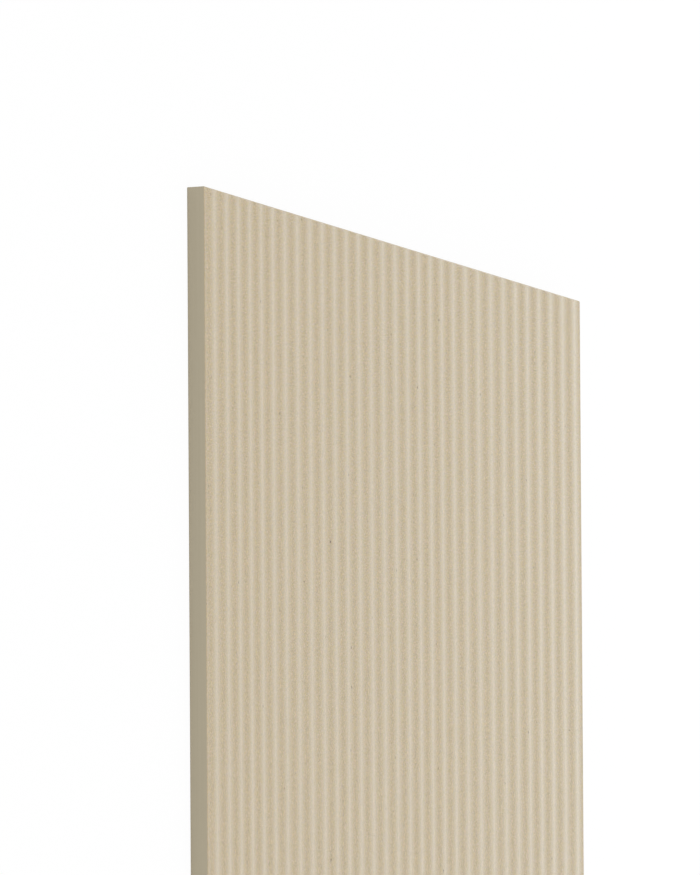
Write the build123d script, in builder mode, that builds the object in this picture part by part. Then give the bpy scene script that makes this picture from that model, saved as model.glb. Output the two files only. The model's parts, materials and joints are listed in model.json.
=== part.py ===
from build123d import *
from math import pi, sin
import os

# Fluted laminate sheet, lying on its plain back, in millimetres.
# X runs across the sheet, Y along it and Z up. The origin is the middle of the back.
# The face is pressed into shallow reeds that run the whole length, side by side and a
# little uneven in width. The sheet is sawn to size, and its arrises are eased.

# The sheet
sheet_width = 610.0
sheet_length = 2440.0
sheet_thickness = 13.0  # from the back to the top of a reed

# The reeds, placed along X from the left edge
reed_pitch = 19.56  # average width of one reed
reed_height = 0.8  # from the bottom of a groove to the top of a reed
first_groove = -1.4  # just outside the left edge, so that the edge is nearly a groove

# The drift that makes the reeds uneven, as three slow waves. Periods and starts count reeds.
slow_drift = 3.4  # leaves the reeds a little narrower on the left half than on the right
slow_drift_period = 62.0
slow_drift_start = 31.0
wide_drift = 1.3
wide_drift_period = 13.4
wide_drift_start = 10.8
narrow_drift = 0.85
narrow_drift_period = 7.7
narrow_drift_start = -0.2

# The arrises, taken off at 45 degrees by a flat block after the saw
arris = 0.4  # at the back, and at a groove of the face, so more at the top of a reed

# Worked out from the sizes above
groove_z = sheet_thickness - reed_height
reeds_across = int(sheet_width / reed_pitch) + 1
first_reed = -1
last_reed = reeds_across + 1
saw_reach = sheet_width + sheet_length  # each way from the middle, past the whole blank


def drift(count, size, period, start):
    """Sideways shift after a number of reeds."""
    return size * sin(2 * pi * (count - start) / period)


def reed_x(count):
    """X of the place that many reeds past the first groove."""
    slow = drift(count, slow_drift, slow_drift_period, slow_drift_start)
    wide = drift(count, wide_drift, wide_drift_period, wide_drift_start)
    narrow = drift(count, narrow_drift, narrow_drift_period, narrow_drift_start)
    return first_groove + reed_pitch * count + slow + wide + narrow - sheet_width / 2


def flank(start, end):
    """One side of a reed: two arcs that meet halfway up and are level at both ends."""
    halfway = (start + end) / 2
    first_arc = TangentArc(start, halfway, tangent=(1, 0))
    TangentArc(halfway, end, tangent=first_arc % 1)


with BuildPart() as fluted_sheet:
    # Pressed blank, longer than the sheet and with reeds past both of its long edges
    with BuildSketch(Plane.XZ):
        with BuildLine():
            for reed in range(first_reed, last_reed + 1):
                left_groove = Vector(reed_x(reed), groove_z)
                top = Vector(reed_x(reed + 0.5), sheet_thickness)
                right_groove = Vector(reed_x(reed + 1), groove_z)
                flank(left_groove, top)
                flank(top, right_groove)
            left = reed_x(first_reed)
            right = reed_x(last_reed + 1)
            Polyline((left, groove_z), (left, 0), (right, 0), (right, groove_z))
        make_face()
    extrude(amount=sheet_length, both=True)

    # Sawn to width and then to length, and the arrises of each pair of edges eased
    for section, size in ((Plane.XZ, sheet_width), (Plane.YZ, sheet_length)):
        with BuildSketch(section) as sawn:
            with Locations((0, sheet_thickness / 2)):
                Rectangle(size, sheet_thickness)
            chamfer(sawn.vertices().group_by(Axis.Y)[0], length=arris)
            chamfer(sawn.vertices().group_by(Axis.Y)[-1], length=reed_height + arris)
        extrude(amount=saw_reach, both=True, mode=Mode.INTERSECT)

fluted_sheet.part.label = "fluted_sheet"

os.makedirs("parts", exist_ok=True)
export_step(fluted_sheet.part, "parts/fluted_sheet.step")
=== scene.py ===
import json
import math

import bpy
from mathutils import Matrix, Vector

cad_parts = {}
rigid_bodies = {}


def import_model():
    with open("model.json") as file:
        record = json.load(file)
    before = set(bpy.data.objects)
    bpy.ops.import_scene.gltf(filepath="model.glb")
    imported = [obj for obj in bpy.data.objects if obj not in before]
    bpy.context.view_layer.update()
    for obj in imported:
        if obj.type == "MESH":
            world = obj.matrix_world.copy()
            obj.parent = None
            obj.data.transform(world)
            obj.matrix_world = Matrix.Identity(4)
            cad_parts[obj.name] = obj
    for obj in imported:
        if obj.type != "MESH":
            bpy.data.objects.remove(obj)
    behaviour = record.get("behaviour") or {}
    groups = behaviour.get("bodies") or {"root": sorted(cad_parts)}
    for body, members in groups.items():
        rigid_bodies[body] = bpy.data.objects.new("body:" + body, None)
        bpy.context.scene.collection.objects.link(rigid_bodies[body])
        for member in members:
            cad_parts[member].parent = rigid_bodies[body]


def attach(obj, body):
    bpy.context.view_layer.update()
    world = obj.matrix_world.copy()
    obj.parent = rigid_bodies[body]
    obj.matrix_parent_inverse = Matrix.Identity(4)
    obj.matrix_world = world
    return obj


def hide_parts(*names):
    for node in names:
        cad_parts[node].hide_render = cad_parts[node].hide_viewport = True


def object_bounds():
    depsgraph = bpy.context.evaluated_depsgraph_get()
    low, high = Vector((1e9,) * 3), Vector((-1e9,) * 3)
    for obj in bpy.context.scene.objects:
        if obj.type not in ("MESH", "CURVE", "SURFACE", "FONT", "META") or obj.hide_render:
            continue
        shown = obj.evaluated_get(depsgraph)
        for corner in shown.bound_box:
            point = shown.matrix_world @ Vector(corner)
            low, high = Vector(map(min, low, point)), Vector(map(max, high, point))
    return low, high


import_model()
cadLow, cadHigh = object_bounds()
sheetSize = cadHigh - cadLow
mm = 0.001
print("frame loaded, sheet", [round(side / mm, 1) for side in sheetSize], "mm")


# Small helpers

def linear(hexColour):
    # sRGB hex to the linear colour that a shader socket wants
    out = []
    for place in (0, 2, 4):
        value = int(hexColour[place:place + 2], 16) / 255
        out.append(value / 12.92 if value <= 0.04045 else ((value + 0.055) / 1.055) ** 2.4)
    return (*out, 1.0)


def dropSelection():
    for piece in bpy.context.scene.objects:
        piece.select_set(False)


def addNode(owner, kind, links=(), **settings):
    # one node with its settings; links pair a socket with a value or with another node's output
    made = owner.node_tree.nodes.new(kind)
    for name, value in settings.items():
        setattr(made, name, value)
    for socket, value in links:
        if isinstance(value, bpy.types.NodeSocket):
            owner.node_tree.links.new(value, made.inputs[socket])
        else:
            made.inputs[socket].default_value = value
    return made


def newMaterial(name):
    material = bpy.data.materials.new(name)
    material.use_nodes = True
    material.node_tree.nodes.clear()
    return material


# The fluted sheet: its reeds have the sizes of the CAD section, with finer arcs

reeds = {
    "pitch": 19.56 * mm,  # average width of one reed
    "height": 0.8 * mm,  # groove to top
    "firstGroove": -1.4 * mm,  # from the left edge
    "slowDrift": (3.4 * mm, 62.0, 31.0),  # size, then period and start counted in reeds
    "wideDrift": (1.3 * mm, 13.4, 10.8),
    "narrowDrift": (0.85 * mm, 7.7, -0.2),
    "spare": 1,  # reeds past each long edge, for the saw to take
    "arcSteps": 4,  # flat strips in an arc; a reed has four arcs
    "arris": 0.4 * mm,  # at the back, and at a groove of the face, so more at the top of a reed
}
smoothUnder = math.radians(12)  # between the strips of a reed (2 degrees) and an arris (45)
sawAccuracy = 0.001 * mm
edgeGap = 0.01 * mm  # a point nearer than this to a sawn edge lies on it


def reedX(count):
    # x of the place that many reeds past the first groove, with the slow drift that makes them uneven
    place = cadLow.x + reeds["firstGroove"] + reeds["pitch"] * count
    for size, period, start in (reeds["slowDrift"], reeds["wideDrift"], reeds["narrowDrift"]):
        place += size * math.sin(2 * math.pi * (count - start) / period)
    return place


def spinFlank(startX, endX, startZ, endZ):
    # one side of a reed: two tangent arcs, each spun on from the last point of the line
    run = endX - startX
    rise = endZ - startZ
    turn = 2 * math.atan(abs(rise) / run)  # the slope where the arcs meet
    radius = run / (2 * math.sin(turn))
    side = 1 if rise > 0 else -1  # a rising flank starts hollow, a falling one round
    bpy.ops.mesh.spin(steps=reeds["arcSteps"], angle=side * turn, axis=(0, 1, 0),
                      center=(startX, cadHigh.y, startZ + side * radius))
    bpy.ops.mesh.spin(steps=reeds["arcSteps"], angle=-side * turn, axis=(0, 1, 0),
                      center=(endX, cadHigh.y, endZ - side * radius))


def drawReeds(grooveZ):
    # the line of reeds starts as one point in a groove, and runs past both long edges
    spare = reeds["spare"]
    bpy.ops.mesh.merge(type="CENTER")
    bpy.ops.transform.translate(value=(reedX(-spare), cadHigh.y, grooveZ))
    for reed in range(-spare, int(sheetSize.x / reeds["pitch"]) + 1 + spare):
        spinFlank(reedX(reed), reedX(reed + 0.5), grooveZ, cadHigh.z)
        spinFlank(reedX(reed + 0.5), reedX(reed + 1), cadHigh.z, grooveZ)


def sawOff(place, outward, fill):
    # cuts all that lies outside a plane away
    bpy.ops.mesh.select_all(action="SELECT")
    bpy.ops.mesh.bisect(plane_co=place, plane_no=outward, use_fill=fill, clear_outer=True,
                        threshold=sawAccuracy)


def selectPoints(sheet, test):
    # picks points by their place, from object mode, and goes back to edit mode
    bpy.ops.mesh.select_all(action="DESELECT")
    bpy.ops.object.mode_set(mode="OBJECT")
    for point in sheet.data.vertices:
        point.select = test(point.co)
    bpy.ops.object.mode_set(mode="EDIT")


def closeSection(sheet, grooveZ):
    # both ends of the line go down to the back, where an edge joins them, and the outline is filled
    selectPoints(sheet, lambda co: abs(co.x) > cadHigh.x - edgeGap)
    bpy.ops.mesh.extrude_region_move(TRANSFORM_OT_translate={"value": (0, 0, -grooveZ)})
    bpy.ops.transform.resize(value=(1, 1, 0), center_override=(0, 0, cadLow.z))
    bpy.ops.mesh.edge_face_add()
    bpy.ops.mesh.select_all(action="SELECT")
    bpy.ops.mesh.edge_face_add()


def easeArrises(grooveZ):
    # a flat cut at 45 degrees along each edge of the face and of the back
    faceCut = (grooveZ - reeds["arris"], 1)
    backCut = (cadLow.z + reeds["arris"], -1)
    for sideX, sideY in ((-1, 0), (1, 0), (0, -1), (0, 1)):
        for edgeZ, up in (faceCut, backCut):
            sawOff((sideX * cadHigh.x, sideY * cadHigh.y, edgeZ), (sideX, sideY, up), fill=True)


def makeSheet():
    grooveZ = cadHigh.z - reeds["height"]
    dropSelection()
    bpy.ops.mesh.primitive_plane_add(size=reeds["pitch"])
    sheet = bpy.context.object
    sheet.name = "flutedLaminateSheet"
    bpy.ops.object.mode_set(mode="EDIT")
    drawReeds(grooveZ)
    for side in (-1, 1):  # the line is sawn to width
        sawOff((side * cadHigh.x, 0, 0), (side, 0, 0), fill=False)
    closeSection(sheet, grooveZ)
    bpy.ops.mesh.extrude_region_move(TRANSFORM_OT_translate={"value": (0, -sheetSize.y, 0)})
    easeArrises(grooveZ)
    bpy.ops.mesh.select_all(action="SELECT")
    bpy.ops.mesh.normals_make_consistent(inside=False)
    bpy.ops.object.mode_set(mode="OBJECT")
    bpy.ops.object.shade_smooth_by_angle(angle=smoothUnder)
    return sheet


# Matt decor face: printed paper under melamine resin, pressed against a fluted plate and finely
# sanded. The eye sees a sandy beige with soft pink and green clouds and a few brown specks, and
# light that skims the reeds leaves pale bands.

faceFinish = {
    "inks": ("A5A252", "CDAFAC"),  # red, green and blue each wander between the two by themselves
    "fibre": 3.0,  # the paper's fibres lie across the sheet and draw clouds and grain out by this
    "cloud": 0.75 * mm,
    "cloudDetail": (3.0, 0.7),  # how many finer layers of cloud there are, and their strength
    "grain": 0.36 * mm,  # sanding grit is a sixth of this, too fine to show, so it is drawn coarser
    "grainSpan": (0.3, 0.7),  # nearly all values of the grain's noise lie between these
    "grainTone": (0.68, 1.32),  # darkest and palest grain
    "grainHeight": 0.02 * mm,
    "speck": "4C3020",
    "speckApart": 36 * mm,
    "speckRadius": 0.95 * mm,
    "speckFaintness": 3.6,  # a power: more leaves fewer dark ones
    "roughness": (0.36, 0.44),
    "ior": 1.55,  # melamine resin
}


def makeFaceMaterial():
    material = newMaterial("sandedFlutedLaminateFace")
    place = addNode(material, "ShaderNodeTexCoord").outputs["Object"]
    paper = addNode(material, "ShaderNodeMapping", [
        ("Vector", place), ("Scale", (1 / faceFinish["fibre"], 1, 1))]).outputs["Vector"]

    # printed clouds, darkened and paled by the sanded grain
    darkInk, paleInk = [linear(ink)[:3] for ink in faceFinish["inks"]]
    layers, strength = faceFinish["cloudDetail"]
    clouds = addNode(material, "ShaderNodeTexNoise", [
        ("Vector", paper), ("Scale", 1 / faceFinish["cloud"]), ("Detail", layers),
        ("Roughness", strength)])
    printed = addNode(material, "ShaderNodeMix", [
        ("Factor", clouds.outputs["Color"]), ("A", darkInk), ("B", paleInk)],
        data_type="VECTOR", factor_mode="NON_UNIFORM")
    grain = addNode(material, "ShaderNodeTexNoise", [
        ("Vector", paper), ("Scale", 1 / faceFinish["grain"]), ("Detail", 1.0)]).outputs["Fac"]
    lowest, highest = faceFinish["grainSpan"]
    fromGrain = [("Value", grain), ("From Min", lowest), ("From Max", highest)]
    dark, pale = faceFinish["grainTone"]
    tone = addNode(material, "ShaderNodeMapRange", fromGrain + [("To Min", dark), ("To Max", pale)])
    sanded = addNode(material, "ShaderNodeVectorMath", [
        ("Vector", printed.outputs["Result"]), ("Scale", tone.outputs[0])], operation="SCALE")

    # a speck in each square, most of them faint
    squares = addNode(material, "ShaderNodeTexVoronoi", [
        ("Vector", place), ("Scale", 1 / faceFinish["speckApart"])], voronoi_dimensions="2D")
    speckEdge = faceFinish["speckRadius"] / faceFinish["speckApart"]
    spot = addNode(material, "ShaderNodeMapRange", [
        ("Value", squares.outputs["Distance"]), ("From Min", speckEdge), ("From Max", speckEdge / 2)])
    chance = addNode(material, "ShaderNodeSeparateColor", [("Color", squares.outputs["Color"])])
    faint = addNode(material, "ShaderNodeMath", [
        (0, chance.outputs["Red"]), (1, faceFinish["speckFaintness"])], operation="POWER")
    speck = addNode(material, "ShaderNodeMath", [
        (0, spot.outputs[0]), (1, faint.outputs[0])], operation="MULTIPLY")
    colour = addNode(material, "ShaderNodeMix", [
        ("Factor", speck.outputs[0]), ("A", sanded.outputs[0]), ("B", linear(faceFinish["speck"]))],
        data_type="RGBA")

    glossy, dull = faceFinish["roughness"]
    gloss = addNode(material, "ShaderNodeMapRange", fromGrain + [("To Min", glossy), ("To Max", dull)])
    relief = addNode(material, "ShaderNodeBump", [
        ("Height", grain), ("Strength", 1.0), ("Distance", faceFinish["grainHeight"])])
    shader = addNode(material, "ShaderNodeBsdfPrincipled", [
        ("Base Color", colour.outputs["Result"]), ("Roughness", gloss.outputs[0]),
        ("IOR", faceFinish["ior"]), ("Normal", relief.outputs["Normal"])])
    addNode(material, "ShaderNodeOutputMaterial", [("Surface", shader.outputs["BSDF"])])
    return material


# Sawn and sanded edge of the solid board, a shade greyer than the face. The saw leaves faint
# lines along the cut, which sanding has all but closed.

edgeFinish = {
    "name": "sawnLaminateEdge",
    "dark": "A69C85",
    "pale": "AEA48D",
    "mark": (160 * mm, 160 * mm, 0.9 * mm),  # a saw line's size along x, y and z
    "markDetail": (2.0, 0.5),
    "markHeight": 0.01 * mm,
    "roughness": 0.5,
    "ior": 1.5,
}

# Plain back, sanded with a wide belt so that it takes glue: dull, with fine scratches along it

backFinish = {
    "name": "beltSandedLaminateBack",
    "dark": "A3967B",
    "pale": "B0A389",
    "mark": (1.2 * mm, 90 * mm, 1.2 * mm),  # a scratch; real ones are finer, too fine to show
    "markDetail": (3.0, 0.6),
    "markHeight": 0.03 * mm,
    "roughness": 0.62,
    "ior": 1.5,
}


def makeBareMaterial(finish):
    # laminate with no decor, and the long marks of the tool that cut or sanded it
    material = newMaterial(finish["name"])
    place = addNode(material, "ShaderNodeTexCoord").outputs["Object"]
    drawn = addNode(material, "ShaderNodeMapping", [
        ("Vector", place), ("Scale", [1 / size for size in finish["mark"]])])
    layers, strength = finish["markDetail"]
    marks = addNode(material, "ShaderNodeTexNoise", [
        ("Vector", drawn.outputs["Vector"]), ("Scale", 1.0), ("Detail", layers),
        ("Roughness", strength)])
    colour = addNode(material, "ShaderNodeMix", [
        ("Factor", marks.outputs["Fac"]), ("A", linear(finish["dark"])),
        ("B", linear(finish["pale"]))], data_type="RGBA")
    relief = addNode(material, "ShaderNodeBump", [
        ("Height", marks.outputs["Fac"]), ("Strength", 1.0), ("Distance", finish["markHeight"])])
    shader = addNode(material, "ShaderNodeBsdfPrincipled", [
        ("Base Color", colour.outputs["Result"]), ("Roughness", finish["roughness"]),
        ("IOR", finish["ior"]), ("Normal", relief.outputs["Normal"])])
    addNode(material, "ShaderNodeOutputMaterial", [("Surface", shader.outputs["BSDF"])])
    return material


def finishSheet(sheet):
    # the face and its arrises take the decor, the sawn sides and the back are bare
    for material in (makeFaceMaterial(), makeBareMaterial(edgeFinish), makeBareMaterial(backFinish)):
        sheet.data.materials.append(material)
    decor, sawn, back = range(3)
    steep = 0.5
    for face in sheet.data.polygons:
        if face.normal.z > steep:
            face.material_index = decor
        elif face.normal.z < -steep:
            face.material_index = back
        else:
            face.material_index = sawn


sheet = makeSheet()
finishSheet(sheet)
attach(sheet, "root")
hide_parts("fluted_sheet")
print("sheet made,", len(sheet.data.polygons), "faces")


# Camera: a long lens, so far off that the edges run almost parallel as in the photograph

camera = {
    "lens": 1200.0,
    "aim": (-0.0755, 1.0853, 0.0126),
    "distance": 18.77,
    "azimuth": math.radians(-81.94),
    "elevation": math.radians(23.27),
    "roll": math.radians(86.45),
    "sight": 100.0,  # how far it sees
}


def makeCamera():
    data = bpy.data.cameras.new("camera")
    data.lens = camera["lens"]
    data.clip_end = camera["sight"]
    made = bpy.data.objects.new("camera", data)
    bpy.context.scene.collection.objects.link(made)
    azimuth, elevation = camera["azimuth"], camera["elevation"]
    level = math.cos(elevation)
    back = Vector((math.sin(azimuth) * level, -math.cos(azimuth) * level, math.sin(elevation)))
    upright = back.to_track_quat("Z", "Y").to_matrix().to_4x4()
    turned = upright @ Matrix.Rotation(camera["roll"], 4, "Z")
    made.matrix_world = Matrix.Translation(Vector(camera["aim"]) + back * camera["distance"]) @ turned
    bpy.context.scene.camera = made


makeCamera()
print("camera set,", camera["distance"], "m off")


# Floor and light: a white surround all about, and two low softboxes on the right, a little cool,
# whose light skims over the reeds and gives the sheen

studio = {
    "floorSize": 40.0,
    "floorWhite": 0.95,
    "floorGlow": 0.94,  # share of the floor that is plain white to the eye, the rest takes the shadow
    "cool": "E0F1FF",
    "softboxes": {  # name: place, height of the point that it faces, long and short side, power
        "sideBox": ((1.6, 0.8, 0.6), 0.2, (3.6, 0.6), 5.3),
        "skirtBox": ((0.6, 0.15, 0.05), 0.05, (3.0, 0.1), 1.0),
    },
}


def seenRays(owner):
    # 1 for what the eye sees, straight, in gloss or through glass, and 0 for what lights the sheet
    path = addNode(owner, "ShaderNodeLightPath")
    mirrored = addNode(owner, "ShaderNodeMath", [
        (0, path.outputs["Is Camera Ray"]), (1, path.outputs["Is Glossy Ray"])], operation="MAXIMUM")
    seen = addNode(owner, "ShaderNodeMath", [
        (0, mirrored.outputs[0]), (1, path.outputs["Is Transmission Ray"])], operation="MAXIMUM")
    return seen.outputs[0]


def makeFloor():
    dropSelection()
    bpy.ops.mesh.primitive_plane_add(size=studio["floorSize"], location=(0, 0, cadLow.z))
    floor = bpy.context.object
    floor.name = "floor"
    material = newMaterial("whiteStudioFloor")
    white = studio["floorWhite"]
    paint = addNode(material, "ShaderNodeBsdfDiffuse", [("Color", (white, white, white, 1))])
    glow = addNode(material, "ShaderNodeEmission", [("Strength", 1.0)])
    share = addNode(material, "ShaderNodeMath", [
        (0, seenRays(material)), (1, studio["floorGlow"])], operation="MULTIPLY")
    mix = addNode(material, "ShaderNodeMixShader", [
        (0, share.outputs[0]), (1, paint.outputs[0]), (2, glow.outputs[0])])
    addNode(material, "ShaderNodeOutputMaterial", [("Surface", mix.outputs[0])])
    floor.data.materials.append(material)


def makeSurround():
    world = bpy.data.worlds.new("studio")
    world.use_nodes = True
    world.node_tree.nodes.clear()
    sky = addNode(world, "ShaderNodeBackground", [("Color", (1, 1, 1, 1)), ("Strength", 1.0)])
    addNode(world, "ShaderNodeOutputWorld", [("Surface", sky.outputs[0])])
    bpy.context.scene.world = world


def makeSoftbox(name, place, facesHeight, size, power):
    # it faces the sheet's middle line, straight across the sheet
    target = (0, place[1], facesHeight)
    data = bpy.data.lights.new(name, "AREA")
    data.shape = "RECTANGLE"
    data.size, data.size_y = size
    data.energy = power
    data.color = linear(studio["cool"])[:3]
    lamp = bpy.data.objects.new(name, data)
    bpy.context.scene.collection.objects.link(lamp)
    lamp.location = place
    lamp.rotation_mode = "QUATERNION"
    lamp.rotation_quaternion = (Vector(place) - Vector(target)).to_track_quat("Z", "Y")
    lamp.visible_camera = False


makeFloor()
makeSurround()
for name, values in studio["softboxes"].items():
    makeSoftbox(name, *values)
print("studio lit,", len(studio["softboxes"]), "softboxes")

bpy.context.scene.view_settings.view_transform = "Standard"
